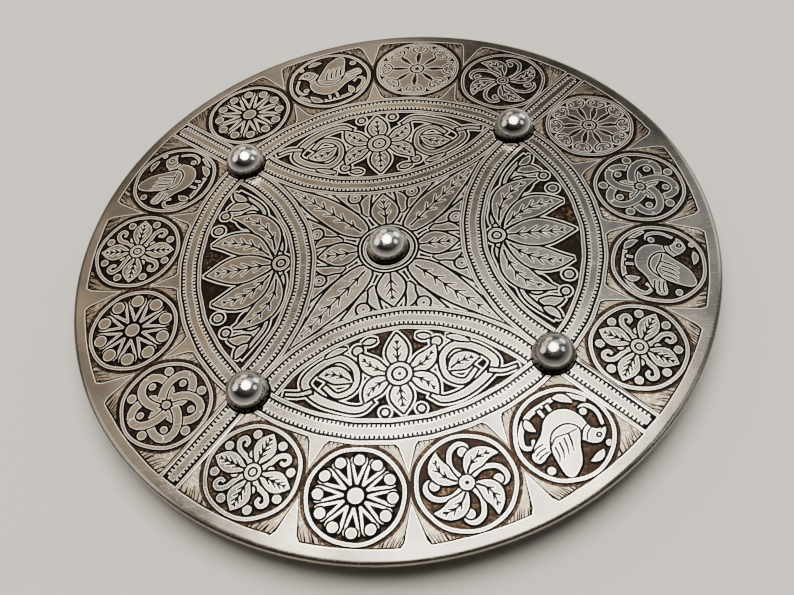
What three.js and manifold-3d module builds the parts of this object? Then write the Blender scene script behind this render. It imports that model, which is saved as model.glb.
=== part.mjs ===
// A round convex disc brooch of engraved silver: one domed disc of sheet, five dome-headed rivets through
// it, and on its back a riveted strip that carries a hinged pin and the hook that its tip springs into.
// Millimetres. +Z is the way the engraved face looks. The origin is below the disc's centre, on the
// surface that the brooch lies on.
import * as THREE from "three";
import { mergeVertices } from "three/addons/utils/BufferGeometryUtils.js";
import Module from "manifold-3d";

const wasm = await Module();
wasm.setup();

// Disc: a sheet raised into a shallow dome
const DISC_RADIUS = 57;
const DOME_HEIGHT = 4;
const SHEET = 1.2;

// The frame of the engraving, cut into the disc's face
const CUT_DEPTH = 0.35;
const RIM_WIDTH = 2.3;
const BAND_WIDTH = 4.3;
const CHANNEL_WIDTH = 0.8;
const CHANNEL_OFFSET = 1;
const ARC_RADIUS = 29;
const ARC_FROM_CENTRE = 14.9;
const ROUNDEL_RADIUS = 8.05;
const ROUNDELS_PER_QUARTER = 4;
const INNER_WEDGE_HALF_WIDTH = 1.4;
const INNER_WEDGE_LENGTH = 5.2;
const OUTER_WEDGE_HALF_WIDTH = 1.9;
const OUTER_WEDGE_LENGTH = 6.6;

// Boss rivets: one at the centre, four where the bands meet
const BOSS_CIRCLE_RADIUS = 35.5;
const BOSS_RADIUS = 3.6;
const BOSS_SKIRT = 0.2;
const SHANK_RADIUS = 1.2;
const UPSET_RADIUS = 2.1;
const UPSET_HEIGHT = 0.9;
const ROVE_RADIUS = 3;
const ROVE_THICKNESS = 0.8;

// Back strip, and the feet of the hinge and the catch, which the end rivets clamp under it
const STRIP_WIDTH = 8;
const STRIP_THICKNESS = 1;
const STRIP_OVERHANG = 7.5;
const FOOT_THICKNESS = 1;
const FOOT_INWARD = 4;
const FOOT_WIDTH = 7.4;

// Hinge: two ears with an axle riveted across them, as far below the foot as the drop says
const HINGE_OUTWARD = 4.8;
const AXLE_DROP = 4;
const AXLE_RADIUS = 0.7;
const AXLE_HEAD_RADIUS = 1.15;
const AXLE_HEAD_LENGTH = 0.5;
const EAR_THICKNESS = 1.2;
const EAR_GAP = 3.8;
const EAR_TOP_WIDTH = 5.4;
const EAR_TOE_WIDTH = 3.2;

// Pin: an eye on the axle, a round shaft and a long taper, lying a little to the side of the catch
const EYE_WIDTH = 3;
const EYE_RADIUS = 1.9;
const PIN_RADIUS = 0.9;
const PIN_TAPER_LENGTH = 22;
const PIN_POINT_RADIUS = 0.2;
const PIN_PAST_CATCH = 3.5;
const PIN_SIDE_ANGLE = THREE.MathUtils.degToRad(3);

// Catch: a tongue bent into a hook that is open to one side
const CATCH_OUTWARD = 4.2;
const CATCH_LENGTH = 4;
const HOOK_THICKNESS = 0.9;
const HOOK_INNER_RADIUS = 1.35;
const HOOK_LIP = 1;

// Gaps between pieces, and how fine the round shapes are
const SEAT_GAP = 0.3;
const RUNNING_GAP = 0.35;
const DISC_STEPS = 72;
const BAND_STEPS = 56;
const DOME_SPOKES = 24;
const DOME_RINGS = 4;
const SMALL_STEPS = 20;
const BOSS_STEPS = 24;
const BOSS_RINGS = 6;
const UPSET_RINGS = 3;

// Share of a foot's thickness that its ear or tongue is rooted in
const FOOT_ROOT_SHARE = 0.5;

// The dome is part of a sphere, and each layer under the face is a sphere about the same centre. All
// heights below are from that centre, and the whole assembly is lifted at the end.
const FACE = (DISC_RADIUS ** 2 + DOME_HEIGHT ** 2) / (DOME_HEIGHT * 2);
const SHEET_UNDERSIDE = FACE - SHEET;
const STRIP_TOP = SHEET_UNDERSIDE - SEAT_GAP;
const STRIP_UNDERSIDE = STRIP_TOP - STRIP_THICKNESS;
const FOOT_TOP = STRIP_UNDERSIDE - SEAT_GAP;
const FOOT_UNDERSIDE = FOOT_TOP - FOOT_THICKNESS;
const ROVE_UNDERSIDE = STRIP_TOP - ROVE_THICKNESS;
const layerHeight = (layer, radius) => Math.sqrt(layer ** 2 - radius ** 2);

// Places along the strip, which runs along X in its own group
const HINGE_X = -(BOSS_CIRCLE_RADIUS + HINGE_OUTWARD);
const CATCH_X = BOSS_CIRCLE_RADIUS + CATCH_OUTWARD;
const AXLE_Z = layerHeight(FOOT_UNDERSIDE, BOSS_CIRCLE_RADIUS) - AXLE_DROP;
const HOOK_RADIUS = HOOK_INNER_RADIUS + HOOK_THICKNESS;
const TOE_Z = AXLE_Z - HOOK_RADIUS;
const HOLE_RADIUS = SHANK_RADIUS + SEAT_GAP;

// Places on the face
const BAND_HALF = BAND_WIDTH / 2;
const RING_INSIDE = BOSS_CIRCLE_RADIUS - BAND_HALF;
const RING_OUTSIDE = BOSS_CIRCLE_RADIUS + BAND_HALF;
const FIELD_RADIUS = DISC_RADIUS - RIM_WIDTH;
const ARC_CENTRE = ARC_FROM_CENTRE + ARC_RADIUS;
const ROUNDEL_CIRCLE_RADIUS = (RING_OUTSIDE + FIELD_RADIUS) / 2;
const QUARTER = Math.PI / 2;
const BOSSES = [
  { name: "centre", tilt: 0, angle: 0 },
  { name: "upper_right", tilt: 1, angle: QUARTER * 0.5 },
  { name: "upper_left", tilt: 1, angle: QUARTER * 1.5 },
  { name: "lower_left", tilt: 1, angle: QUARTER * 2.5 },
  { name: "lower_right", tilt: 1, angle: QUARTER * 3.5 },
];
const BOSS_TILT = Math.asin(BOSS_CIRCLE_RADIUS / FACE);

// Materials
const silver = new THREE.MeshStandardMaterial({ color: 0xc9c1b4, roughness: 0.32, metalness: 1 });
const mirror = new THREE.MeshStandardMaterial({ color: 0x8f8d8c, roughness: 0.06, metalness: 1 });
const forged = new THREE.MeshStandardMaterial({ color: 0xb4aa9a, roughness: 0.42, metalness: 1 });

// A closed three.js geometry as a solid that can be cut and joined
function solid(geometry) {
  const bare = geometry.clone();
  bare.deleteAttribute("normal");
  bare.deleteAttribute("uv");
  const merged = mergeVertices(bare);
  return new wasm.Manifold(
    new wasm.Mesh({
      numProp: 3,
      vertProperties: merged.attributes.position.array,
      triVerts: new Uint32Array(merged.index.array),
    }),
  );
}

// A solid as a named mesh
function part(name, body, material) {
  const { vertProperties, triVerts } = body.getMesh();
  const geometry = new THREE.BufferGeometry();
  geometry.setAttribute("position", new THREE.BufferAttribute(vertProperties, 3));
  geometry.setIndex(new THREE.BufferAttribute(triVerts, 1));
  geometry.computeVertexNormals();
  const mesh = new THREE.Mesh(geometry, material);
  mesh.name = name;
  return mesh;
}

// A geometry of revolution about Z, from [radius, height] points that start and end on the axis
function turned(profile, steps) {
  const points = profile.map(([radius, height]) => new THREE.Vector2(radius, height));
  return new THREE.LatheGeometry(points, steps).rotateX(QUARTER);
}

// A plain round bar or disc about Z
function barrel(radius, low, high, steps = SMALL_STEPS) {
  const geometry = new THREE.CylinderGeometry(radius, radius, high - low, steps);
  return geometry.rotateX(QUARTER).translate(0, 0, (high + low) / 2);
}

// An outline as a straight solid of a given depth along Z. three.js gives an arc two points for each curve
// segment.
function extruded(shape, depth, steps) {
  return new THREE.ExtrudeGeometry(shape, { depth, bevelEnabled: false, curveSegments: steps / 2 });
}

// An outline in plan as an upright solid that runs through every layer, turned about Z
function upright(shape, steps = BAND_STEPS, turn = 0) {
  const geometry = extruded(shape, FACE + DOME_HEIGHT - TOE_Z, steps);
  return solid(geometry.translate(0, 0, TOE_Z).rotateZ(turn));
}

function polygon(points) {
  return new THREE.Shape(points.map(([x, y]) => new THREE.Vector2(x, y)));
}

function box(left, right, low, high) {
  return polygon([
    [left, low],
    [right, low],
    [right, high],
    [left, high],
  ]);
}

function circle(x, y, radius) {
  return new THREE.Shape().absarc(x, y, radius, 0, Math.PI * 2);
}

function ring(x, y, middle, width) {
  const shape = circle(x, y, middle + width / 2);
  shape.holes.push(new THREE.Path().absarc(x, y, middle - width / 2, 0, Math.PI * 2, true));
  return shape;
}

// All that lies under one layer of the dome. Each layer has its facets in the same places, one of their
// rings at the boss circle, so that layers stay parallel.
function underLayer(layer) {
  const profile = [];
  for (let i = DOME_RINGS; i >= 0; i -= 1) {
    const radius = (BOSS_CIRCLE_RADIUS / 2) * i;
    profile.push([radius, layerHeight(layer, radius)]);
  }
  const reach = profile[0][0];
  const floor = TOE_Z - DOME_HEIGHT;
  return solid(turned([[0, floor], [reach, floor], ...profile], DOME_SPOKES));
}

// A piece of sheet between two layers, with the outline of an upright solid
function sheet(outline, top, underside) {
  return outline.intersect(underLayer(top)).subtract(underLayer(underside));
}

// A rivet's hole, through every layer, at one of the bosses
function rivetHole(tilt, angle) {
  const hole = barrel(HOLE_RADIUS, TOE_Z, FACE + DOME_HEIGHT);
  return solid(hole.rotateY(BOSS_TILT * tilt).rotateZ(angle));
}

// Two engraved channels, one on each side of a curved band's middle strip
function channelPair(y, radius, turn) {
  const inner = upright(ring(0, y, radius - CHANNEL_OFFSET, CHANNEL_WIDTH), BAND_STEPS, turn);
  const outer = upright(ring(0, y, radius + CHANNEL_OFFSET, CHANNEL_WIDTH), BAND_STEPS, turn);
  return inner.add(outer);
}

// The channels of the straight band that runs from a boss to the rim, along a diagonal
function barChannels(turn) {
  const from = RING_OUTSIDE;
  const half = CHANNEL_WIDTH / 2;
  const left = box(-CHANNEL_OFFSET - half, -CHANNEL_OFFSET + half, from, FIELD_RADIUS);
  const right = box(CHANNEL_OFFSET - half, CHANNEL_OFFSET + half, from, FIELD_RADIUS);
  return upright(left, 1, turn + QUARTER / 2).add(upright(right, 1, turn + QUARTER / 2));
}

// Angles of the roundels of one quarter, from the middle of the quarter
function roundelAngles() {
  const clear = Math.asin((BAND_HALF + ROUNDEL_RADIUS) / ROUNDEL_CIRCLE_RADIUS);
  const last = QUARTER / 2 - clear;
  const step = (last * 2) / (ROUNDELS_PER_QUARTER - 1);
  return Array.from({ length: ROUNDELS_PER_QUARTER }, (_, i) => step * i - last);
}

// A plain wedge from its base, which overlaps the plain metal by its half width, to its point
function wedge(base, point, halfWidth, turn) {
  const overlap = base + Math.sign(base - point) * halfWidth;
  const outline = polygon([
    [-halfWidth, overlap],
    [halfWidth, overlap],
    [0, point],
  ]);
  return upright(outline, 1, turn);
}

// The two plain wedges that point at each other between neighbouring roundels
function wedgePair(turn) {
  const inner = wedge(RING_OUTSIDE, RING_OUTSIDE + INNER_WEDGE_LENGTH, INNER_WEDGE_HALF_WIDTH, turn);
  return inner.add(wedge(FIELD_RADIUS, FIELD_RADIUS - OUTER_WEDGE_LENGTH, OUTER_WEDGE_HALF_WIDTH, turn));
}

// The sunk ground of one quarter of the border, with its roundels and wedges left standing
function borderGround(turn) {
  const offset = BAND_HALF * Math.SQRT2;
  const quarter = polygon([
    [0, offset],
    [DISC_RADIUS, DISC_RADIUS + offset],
    [-DISC_RADIUS, DISC_RADIUS + offset],
  ]);
  const border = upright(ring(0, 0, ROUNDEL_CIRCLE_RADIUS, FIELD_RADIUS - RING_OUTSIDE));
  const angles = roundelAngles();
  const step = angles[1] - angles[0];
  let ground = border.intersect(upright(quarter, 1, turn));
  for (const angle of angles) {
    const roundel = circle(0, ROUNDEL_CIRCLE_RADIUS, ROUNDEL_RADIUS);
    ground = ground.subtract(upright(roundel, SMALL_STEPS, turn + angle));
    if (angle !== angles[0]) ground = ground.subtract(wedgePair(turn + angle - step / 2));
  }
  return ground;
}

// Everything cut into the face
function engraving() {
  let cut = channelPair(0, BOSS_CIRCLE_RADIUS, 0);
  const inside = upright(circle(0, 0, RING_INSIDE));
  for (let i = 0; i < 4; i += 1) {
    const turn = QUARTER * i;
    cut = cut.add(channelPair(ARC_CENTRE, ARC_RADIUS, turn).intersect(inside));
    cut = cut.add(barChannels(turn));
    cut = cut.add(borderGround(turn));
  }
  return cut.subtract(underLayer(FACE - CUT_DEPTH));
}

// The disc: a domed sheet, engraved, with five rivet holes
function discPlate() {
  let plate = sheet(upright(circle(0, 0, DISC_RADIUS), DISC_STEPS), FACE, SHEET_UNDERSIDE);
  plate = plate.subtract(engraving());
  for (const { tilt, angle } of BOSSES) {
    plate = plate.subtract(rivetHole(tilt, angle));
  }
  return plate;
}

// A boss rivet about Z: domed head, shank, and the end that is hammered over against the last layer
function bossRivet(lastLayer) {
  const seat = FACE + SEAT_GAP;
  const tail = lastLayer - SEAT_GAP;
  const profile = [];
  for (let i = 0; i <= UPSET_RINGS; i += 1) {
    const a = QUARTER * (i / UPSET_RINGS);
    profile.push([UPSET_RADIUS * Math.sin(a), tail - UPSET_HEIGHT * Math.cos(a)]);
  }
  profile.push([SHANK_RADIUS, tail], [SHANK_RADIUS, seat], [BOSS_RADIUS, seat]);
  for (let i = 0; i < BOSS_RINGS; i += 1) {
    const a = QUARTER * (i / BOSS_RINGS);
    profile.push([BOSS_RADIUS * Math.cos(a), seat + BOSS_SKIRT + BOSS_RADIUS * Math.sin(a)]);
  }
  profile.push([0, seat + BOSS_SKIRT + BOSS_RADIUS]);
  return solid(turned(profile, BOSS_STEPS));
}

// A rove: the washer that a rivet's end is hammered over
function rove() {
  return solid(barrel(ROVE_RADIUS, ROVE_UNDERSIDE, STRIP_TOP)).subtract(rivetHole(0, 0));
}

// The back strip, with half-round ends, through three rivets
function backStrip() {
  const end = BOSS_CIRCLE_RADIUS + STRIP_OVERHANG - STRIP_WIDTH / 2;
  const outline = new THREE.Shape();
  outline.absarc(end, 0, STRIP_WIDTH / 2, -QUARTER, QUARTER);
  outline.absarc(-end, 0, STRIP_WIDTH / 2, QUARTER, QUARTER * 3);
  const strip = sheet(upright(outline, SMALL_STEPS / 2), STRIP_TOP, STRIP_UNDERSIDE);
  return strip.subtract(rivetHole(0, 0)).subtract(rivetHole(1, 0)).subtract(rivetHole(-1, 0));
}

// The foot of the hinge (side -1) or of the catch (side 1), from inside its rivet out to a given X
function clampedFoot(side, outer) {
  const inner = side * (BOSS_CIRCLE_RADIUS - FOOT_INWARD);
  const outline = box(Math.min(inner, outer), Math.max(inner, outer), -FOOT_WIDTH / 2, FOOT_WIDTH / 2);
  return sheet(upright(outline, 1), FOOT_TOP, FOOT_UNDERSIDE).subtract(rivetHole(side, 0));
}

// An upright plate of the hinge bracket, from its slanted root in the foot to its flat toe
function ear(nearY) {
  const root = layerHeight(FOOT_UNDERSIDE, HINGE_X) + FOOT_THICKNESS * FOOT_ROOT_SHARE;
  const outline = polygon([
    [HINGE_X - EAR_TOE_WIDTH / 2, TOE_Z],
    [HINGE_X + EAR_TOE_WIDTH / 2, TOE_Z],
    [HINGE_X + EAR_TOP_WIDTH / 2, root],
    [HINGE_X - EAR_TOP_WIDTH / 2, root],
  ]);
  const plate = extruded(outline, EAR_THICKNESS, 2);
  return solid(plate.rotateX(QUARTER).translate(0, nearY + EAR_THICKNESS, 0));
}

// A round bar along Y, across the hinge
function acrossHinge(radius, from, to) {
  return solid(barrel(radius, from, to).rotateX(-QUARTER).translate(HINGE_X, 0, AXLE_Z));
}

function hingeBracket() {
  const foot = clampedFoot(-1, HINGE_X - EAR_TOP_WIDTH / 2);
  const bracket = foot.add(ear(EAR_GAP / 2)).add(ear(-EAR_GAP / 2 - EAR_THICKNESS));
  return bracket.subtract(acrossHinge(AXLE_RADIUS + SEAT_GAP, -STRIP_WIDTH, STRIP_WIDTH));
}

// The axle, its two ends hammered into low heads
function hingeAxle() {
  const ears = EAR_GAP / 2 + EAR_THICKNESS + SEAT_GAP;
  const end = ears + AXLE_HEAD_LENGTH;
  const shaft = acrossHinge(AXLE_RADIUS, -end, end);
  const heads = acrossHinge(AXLE_HEAD_RADIUS, ears, end).add(acrossHinge(AXLE_HEAD_RADIUS, -end, -ears));
  return shaft.add(heads);
}

// The catch: a foot, and a tongue that goes down from it and curls under the pin
function catchHook() {
  const foot = clampedFoot(1, CATCH_X + CATCH_LENGTH / 2);
  const root = layerHeight(FOOT_UNDERSIDE, CATCH_X) + FOOT_THICKNESS * FOOT_ROOT_SHARE - AXLE_Z;
  const outline = new THREE.Shape();
  outline.moveTo(-HOOK_RADIUS, root);
  outline.absarc(0, 0, HOOK_RADIUS, QUARTER * 2, QUARTER * 3);
  outline.lineTo(HOOK_LIP, -HOOK_RADIUS);
  outline.lineTo(HOOK_LIP, -HOOK_INNER_RADIUS);
  outline.absarc(0, 0, HOOK_INNER_RADIUS, QUARTER * 3, QUARTER * 2, true);
  outline.lineTo(-HOOK_INNER_RADIUS, root);
  const tongue = extruded(outline, CATCH_LENGTH, SMALL_STEPS).rotateX(QUARTER).rotateZ(QUARTER);
  return foot.add(solid(tongue.translate(CATCH_X - CATCH_LENGTH / 2, 0, AXLE_Z)));
}

// The pin about the origin, its eye's bore along Y and its shaft along X
function pin() {
  const length = CATCH_X + CATCH_LENGTH / 2 + PIN_PAST_CATCH - HINGE_X;
  const profile = [
    [0, 0],
    [PIN_RADIUS, 0],
    [PIN_RADIUS, length - PIN_TAPER_LENGTH],
    [PIN_POINT_RADIUS, length],
    [0, length + PIN_POINT_RADIUS],
  ];
  const shaft = solid(turned(profile, SMALL_STEPS).rotateY(QUARTER));
  const eye = solid(barrel(EYE_RADIUS, -EYE_WIDTH / 2, EYE_WIDTH / 2).rotateX(QUARTER));
  const bore = solid(barrel(AXLE_RADIUS + RUNNING_GAP, -EYE_WIDTH, EYE_WIDTH).rotateX(QUARTER));
  return shaft.add(eye).subtract(bore);
}

// A group turned so that what stands on its Z axis stands on the dome, at one of the bosses
function bossPlace(tilt, angle) {
  const place = new THREE.Group();
  place.rotation.set(0, BOSS_TILT * tilt, angle, "ZYX");
  return place;
}

// The last layer that each rivet goes through, by its place on or off the strip
function lastLayerAt(tilt, angle) {
  if (tilt === 0) return STRIP_UNDERSIDE;
  const onStrip = Math.abs(Math.cos(angle) - Math.sin(angle)) < 1;
  return onStrip ? FOOT_UNDERSIDE : ROVE_UNDERSIDE;
}

const brooch = new THREE.Group();
const shell = new THREE.Group();
shell.position.z = -TOE_Z;
brooch.add(shell);
shell.add(part("disc_plate", discPlate(), silver));

for (const { name, tilt, angle } of BOSSES) {
  const place = bossPlace(tilt, angle);
  const lastLayer = lastLayerAt(tilt, angle);
  place.add(part(`boss_rivet_${name}`, bossRivet(lastLayer), mirror));
  if (lastLayer === ROVE_UNDERSIDE) place.add(part(`rove_${name}`, rove(), forged));
  shell.add(place);
}

const back = new THREE.Group();
back.rotation.z = QUARTER / 2;
shell.add(back);
back.add(part("back_strip", backStrip(), forged));
back.add(part("hinge_bracket", hingeBracket(), forged));
back.add(part("hinge_axle", hingeAxle(), forged));
back.add(part("catch_hook", catchHook(), forged));

const pinMesh = part("pin", pin(), mirror);
pinMesh.position.set(HINGE_X, 0, AXLE_Z);
pinMesh.rotation.z = PIN_SIDE_ANGLE;
back.add(pinMesh);

export default brooch;
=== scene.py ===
import math

import bpy
import numpy as np
from mathutils import Matrix, Vector
from mathutils.geometry import delaunay_2d_cdt


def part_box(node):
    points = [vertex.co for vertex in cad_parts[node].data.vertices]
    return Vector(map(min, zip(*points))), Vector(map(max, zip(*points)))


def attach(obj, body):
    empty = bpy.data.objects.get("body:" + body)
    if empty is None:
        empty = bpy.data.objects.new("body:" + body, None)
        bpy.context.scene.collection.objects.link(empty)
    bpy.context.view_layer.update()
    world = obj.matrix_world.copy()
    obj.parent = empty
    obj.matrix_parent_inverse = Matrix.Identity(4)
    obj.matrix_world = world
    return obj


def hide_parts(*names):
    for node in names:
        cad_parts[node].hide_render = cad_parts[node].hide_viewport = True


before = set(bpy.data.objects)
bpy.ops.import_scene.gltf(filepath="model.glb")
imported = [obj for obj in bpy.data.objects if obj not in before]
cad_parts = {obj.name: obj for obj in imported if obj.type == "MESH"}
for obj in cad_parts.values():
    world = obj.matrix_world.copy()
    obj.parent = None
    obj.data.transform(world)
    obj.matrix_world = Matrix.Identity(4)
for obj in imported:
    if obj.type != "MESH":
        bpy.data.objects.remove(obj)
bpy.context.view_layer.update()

# The brooch is a domed disc of sheet silver. Its face is part of a large sphere, whose size comes from the
# disc's width and the dome's height; its top is under the centre boss. Places in plan are complex numbers in
# millimetres, x across and y up the face.
MM = 0.001
DOME_HEIGHT = 4.0
SHEET = 1.2
SEAT_GAP = 0.3
BOSS_RADIUS = 3.6
BOSS_SKIRT = 0.2
disc_low, disc_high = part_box("disc_plate")
_, boss_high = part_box("boss_rivet_centre")
DISC_RADIUS = (disc_high.x - disc_low.x) / 2 / MM
FACE_TOP = boss_high.z / MM - BOSS_RADIUS - BOSS_SKIRT - SEAT_GAP
SPHERE = (DISC_RADIUS**2 + DOME_HEIGHT**2) / (2 * DOME_HEIGHT)


def dome(plan, depth=0.0):
    """Height of the face, or of a layer so deep in it: a sphere's, at each point's distance from the axis."""
    return FACE_TOP - SPHERE + np.sqrt((SPHERE - depth) ** 2 - np.abs(plan) ** 2)


# Camera: a close view from above the near edge, rolled so that the far side leans to the right.
VIEW_AZIMUTH = math.radians(4.514)
VIEW_ELEVATION = math.radians(54.003)
VIEW_ROLL = math.radians(-10.849)
VIEW_DISTANCE = 218.88
VIEW_TARGET = (0.54, -7.91)
LENS_MM = 57.54

rim_height = float(dome(np.array(DISC_RADIUS)))
target = Vector((*VIEW_TARGET, rim_height)) * MM
back = Vector((
    math.sin(VIEW_AZIMUTH) * math.cos(VIEW_ELEVATION),
    -math.cos(VIEW_AZIMUTH) * math.cos(VIEW_ELEVATION),
    math.sin(VIEW_ELEVATION),
))
level_right = Vector((0, 0, 1)).cross(back).normalized()
level_up = back.cross(level_right)
right = math.cos(VIEW_ROLL) * level_right + math.sin(VIEW_ROLL) * level_up
up = -math.sin(VIEW_ROLL) * level_right + math.cos(VIEW_ROLL) * level_up
turned_view = Matrix((right, up, back)).transposed().to_4x4()
camera = bpy.data.objects.new("camera", bpy.data.cameras.new("camera"))
camera.data.lens = LENS_MM
camera.data.clip_start = MM
camera.matrix_world = Matrix.Translation(target + back * VIEW_DISTANCE * MM) @ turned_view
bpy.context.collection.objects.link(camera)
bpy.context.scene.camera = camera

# Disc: one sheet of silver, engraved. The ornament's grounds are scraped a little below the face, its lines
# are cut deeper, both blackened, and what is left of the face is polished. It is drawn in plan as a list of
# outlines, each laid over the ones before it: it leaves metal, sinks a ground, cuts a line or dulls metal.
METAL, GROUND, LINE, HATCHED = range(4)
LEVEL_DEPTH = np.array([0.0, 0.16, 0.26])
POINT_STEP = 0.5
LEAF_POINTS = 15
QUARTER = math.pi / 2
DIAGONAL = np.exp(0.5j * QUARTER)
QUARTERS = np.array([1j**k for k in range(4)])


def circle(centre, radius):
    """Points round a circle: the centre plus the radius turned through equal angles."""
    count = int(np.clip(2 * np.pi * radius / POINT_STEP, 12, 360))
    return centre + radius * np.exp(2j * np.pi * np.arange(count) / count)


def hollow(outside, inside):
    """Two outlines as one: round the outer one, across, and back round the inner one."""
    return np.concatenate((outside, outside[:1], inside[:1], inside[::-1]))


def annulus(inner, outer, centre=0):
    """A flat ring: its outer circle, and back round its inner one."""
    return hollow(circle(centre, outer), circle(centre, inner))


def smooth(points, closed=False, spans=6):
    """A curve through points: each span is the cubic whose end slopes are half the neighbours' chord."""
    p = np.asarray(points, complex)
    if closed:
        a, b, c, d = np.roll(p, 1), p, np.roll(p, -1), np.roll(p, -2)
    else:
        q = np.concatenate(([2 * p[0] - p[1]], p, [2 * p[-1] - p[-2]]))
        a, b, c, d = q[:-3], q[1:-2], q[2:-1], q[3:]
    t = np.arange(spans) / spans
    a, b, c, d = (x[:, None] for x in (a, b, c, d))
    curve = (2 * b + (c - a) * t + (2 * a - 5 * b + 4 * c - d) * t**2 + (3 * b - a - 3 * c + d) * t**3) / 2
    return curve.ravel() if closed else np.append(curve.ravel(), p[-1])


def ribbon(line, *widths):
    """A line with a width: each point moved half the width to both sides, along the normal there."""
    line = np.asarray(line, complex)
    way = np.gradient(line)
    widths = widths if len(widths) > 1 else widths * 2
    half = np.interp(np.linspace(0, 1, len(line)), np.linspace(0, 1, len(widths)), widths) / 2
    side = 1j * way / np.abs(way) * half
    return np.concatenate((line - side, (line + side)[::-1]))


def leaf_line(root, tip, bow):
    """A leaf's middle line: the chord from root to tip, bowed to its left by a share of its length."""
    t = np.linspace(0, 1, LEAF_POINTS)
    return root + (tip - root) * (t + 4j * bow * t * (1 - t))


def leaf(root, tip, width, bow=0.0, full=0.45):
    """A leaf: a ribbon along its middle line, as wide as a sine arch that is fullest at a given share."""
    t = np.linspace(0, 1, LEAF_POINTS)
    arch = np.sin(np.pi * t ** (math.log(0.5) / math.log(full)))
    return ribbon(leaf_line(root, tip, bow), *(width * arch))


def grown(outline, margin):
    """An outline moved outwards by a margin: each corner goes along the sum of its two edges' normals."""
    edge = np.roll(outline, -1) - outline
    turns_left = np.sum(np.imag(np.conj(outline) * np.roll(outline, -1))) > 0
    length = np.abs(edge)
    after = (-1j if turns_left else 1j) * edge / np.where(length > 0, length, 1)
    before = np.roll(after, 1)
    before = np.where(before == 0, after, before)
    after = np.where(after == 0, before, after)
    return outline + margin * (before + after) / np.maximum(1 + (before * np.conj(after)).real, 0.4)


def raised(*outlines):
    """Outlines that leave metal."""
    return [(METAL, outline) for outline in outlines]


def incised(*outlines):
    """Outlines that cut a line."""
    return [(LINE, outline) for outline in outlines]


def rounds(centre, *radii):
    """Circles one in the other: metal, a cut line in it, metal in that, and so on."""
    return [((METAL, LINE)[k % 2], circle(centre, radius)) for k, radius in enumerate(radii)]


def carved(marks, cut=0.42, halo=0.0):
    """Shapes that stand out: each in its own cut outline, and under them a halo of metal in a cut line."""
    under = []
    if halo:
        shapes = [outline for level, outline in marks if level == METAL]
        under = incised(*(grown(shape, halo + cut) for shape in shapes))
        under += raised(*(grown(shape, halo) for shape in shapes))
    over = []
    for level, outline in marks:
        if level == METAL:
            over += incised(grown(outline, cut))
        over.append((level, outline))
    return under + over


def placed(marks, place, turn):
    """A drawing turned, and sometimes scaled, about its middle and then moved to a place."""
    return [(level, place + outline * turn) for level, outline in marks]


def around(marks, turns):
    """A drawing once for each turn about the middle, one after another."""
    return [mark for turn in turns for mark in placed(marks, 0, turn)]


def spokes(count):
    """Turns by equal angles round the circle, as complex numbers of length one."""
    return np.exp(2j * np.pi * np.arange(count) / count)


def mirrored(marks):
    """A drawing reversed left to right."""
    return [(level, -np.conj(outline)) for level, outline in marks]


# Frame of the face: the ring of bands, the arcs that make four pointed panels, and the bars out to the rim.
# Each band has a plain strip with teeth along both edges, a channel, and a plain border inside a thin line.
BOSS_CIRCLE = 35.5
BOSS_COVER = 0.4
ARC_RADIUS = 29.0
ARC_CENTRE = 43.9
STRIP_HALF = 0.62
TOOTH_LENGTH = 0.5
TOOTH_ROOT = 0.1
TOOTH_WIDTH = 0.34
TOOTH_PITCH = 0.75
TOOTH_GAP = 0.3
CHANNEL_HALF = 1.58
BORDER_HALF = 2.16
BAND_HALF = 2.38
FIELD_RADIUS = 54.7
BAR_BORDER_END = FIELD_RADIUS + 0.4
BAR_CHANNEL_END = 54.5
BAR_STRIP_END = 54.0
BAR_TEETH_END = 53.7
PANEL_TOP = BOSS_CIRCLE - BORDER_HALF
RUN_UNDER = 0.5
FINE_CUT = 0.25

bosses = np.array([0, *(BOSS_CIRCLE * DIAGONAL * QUARTERS)])


def panel(radius, top=PANEL_TOP):
    """A pointed panel: what a circle about the arc's centre shares with a circle about the disc's middle."""
    cross = (top**2 - radius**2 + ARC_CENTRE**2) / (2 * ARC_CENTRE)
    corner = math.sqrt(top**2 - cross**2) + 1j * cross
    count = int(2 * radius / POINT_STEP)
    low = np.angle(np.array([-np.conj(corner), corner]) - 1j * ARC_CENTRE) % (2 * np.pi)
    high = np.angle([corner, -np.conj(corner)])
    below = 1j * ARC_CENTRE + radius * np.exp(1j * np.linspace(*low, count))
    above = top * np.exp(1j * np.linspace(*high, count))
    return np.concatenate((below, above[1:-1]))


def teeth_round(centre, radius, outwards, start, end):
    """Teeth on a circle's edge, but not under a boss: squares at equal steps of arc, from just inside it."""
    count = int((end - start) * radius / TOOTH_PITCH)
    angles = start + (np.arange(count) + 0.5) * (end - start) / count
    half = TOOTH_WIDTH / 2 / radius
    root, top = radius - TOOTH_ROOT * outwards, radius + TOOTH_LENGTH * outwards
    corners = np.array([root, top, top, root]) * np.exp(1j * half * np.array([-1, -1, 1, 1]))
    squares = centre + corners * np.exp(1j * angles)[:, None]
    near = np.abs(squares[:, :1] - bosses).min(1)
    return squares[near > BOSS_RADIUS - BOSS_COVER]


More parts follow.
